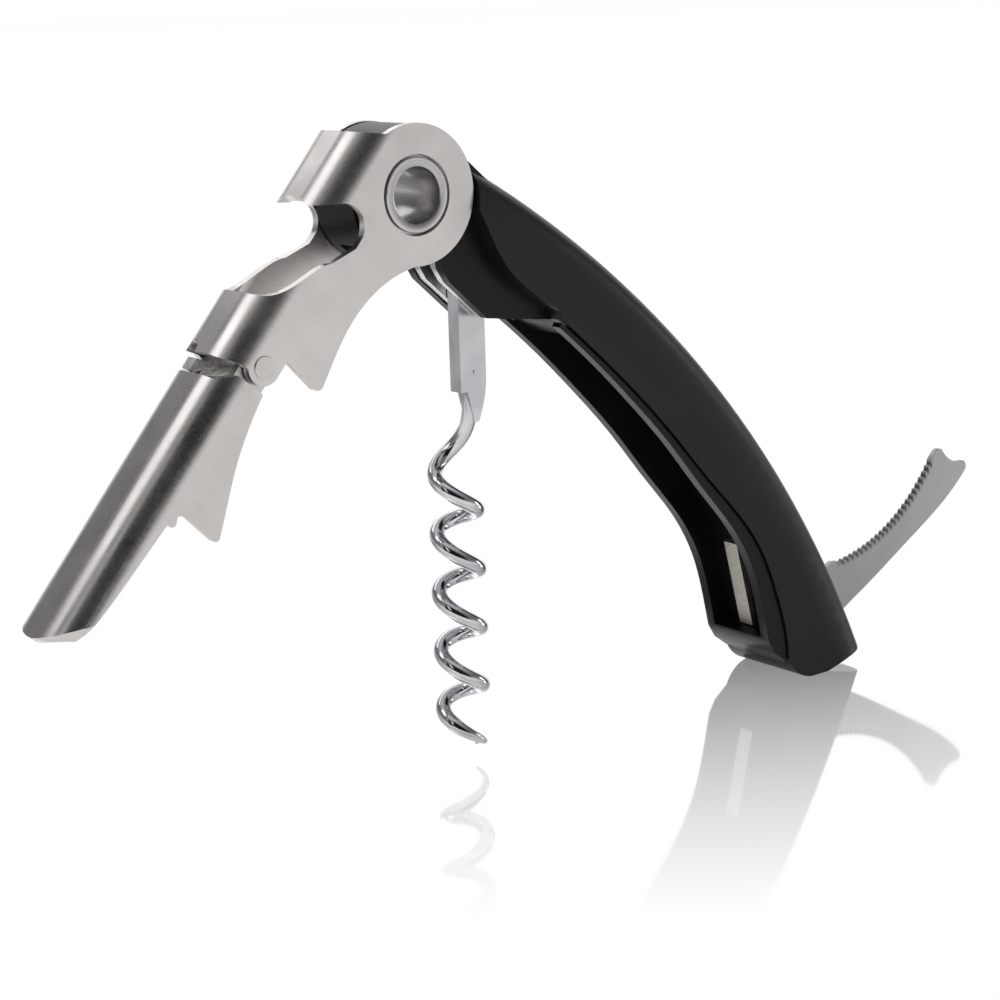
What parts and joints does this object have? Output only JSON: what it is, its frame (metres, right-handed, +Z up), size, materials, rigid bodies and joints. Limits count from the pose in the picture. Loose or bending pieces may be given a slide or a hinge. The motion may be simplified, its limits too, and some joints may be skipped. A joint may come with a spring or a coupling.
{
  "type": "lever corkscrew",
  "caption": "Folding corkscrew with a black handle, a coiled worm, a jointed steel fulcrum lever with a bottle-cap notch, and a serrated foil blade, all folding into the handle.",
  "frame": {"origin": "centre of the hollow axle at the handle's head, on the mid-plane", "axes": "+Z up with the tool standing on the flat end of its handle, the head axle along Y, the handle towards +X and down, the lever towards -X and down"},
  "size_m": [0.177, 0.0144, 0.092],
  "materials": {
    "soft_black_cover": "soft-touch satin",
    "glossy_black_frame": "moulded semi-gloss",
    "lever_steel": "satin, brushed lengthwise",
    "head_steel": "turned, fine brushed bore",
    "hardware_steel": "bright mill finish",
    "worm_chrome": "polished",
    "blade_steel": "light satin",
    "spring_steel": "grainy mill finish",
    "sheared_steel": "rough sheared edge"
  },
  "bodies": {
    "root": {"handle_cover": "soft_black_cover", "handle_frame": "glossy_black_frame", "liner_left": "hardware_steel", "liner_right": "hardware_steel", "liner_studs": "hardware_steel", "head_tube": "head_steel", "head_ring_left": "head_steel", "head_ring_right": "head_steel", "head_washer_left": "hardware_steel", "head_washer_right": "hardware_steel", "worm_pin": "hardware_steel", "blade_pin": "hardware_steel", "blade_washer_left": "hardware_steel", "blade_washer_right": "hardware_steel", "blade_spring": "spring_steel"},
    "upper_lever": {"upper_lever": "lever_steel", "joint_rivet": "lever_steel"},
    "lower_lever": {"lower_lever": "lever_steel", "detent_plate": "sheared_steel", "joint_spacer": "hardware_steel"},
    "worm": {"worm": "worm_chrome"},
    "foil_blade": {"foil_blade": "blade_steel"}
  },
  "joints": [
    {"name": "lever_swing", "type": "hinge", "parent": "root", "child": "upper_lever", "pos_m": [0, 0, 0], "axis": [0, -1, 0], "range_deg": [-70, 85]},
    {"name": "worm_fold", "type": "hinge", "parent": "root", "child": "worm", "pos_m": [0.0121, 0, -0.0134], "axis": [0, -1, 0], "range_deg": [-40.7, 49.4]},
    {"name": "lower_lever_hinge", "type": "hinge", "parent": "upper_lever", "child": "lower_lever", "pos_m": [-0.02499, 0, -0.01974], "axis": [0, 1, 0], "range_deg": [0, 15]},
    {"name": "blade_swing", "type": "hinge", "parent": "root", "child": "foil_blade", "pos_m": [0.081, 0, -0.075], "axis": [0, -1, 0], "range_deg": [-40, 95.6]}
  ],
  "couplings": [
    {"joint": "worm_fold", "follows": "lever_swing", "ratio": 0.58}
  ]
}
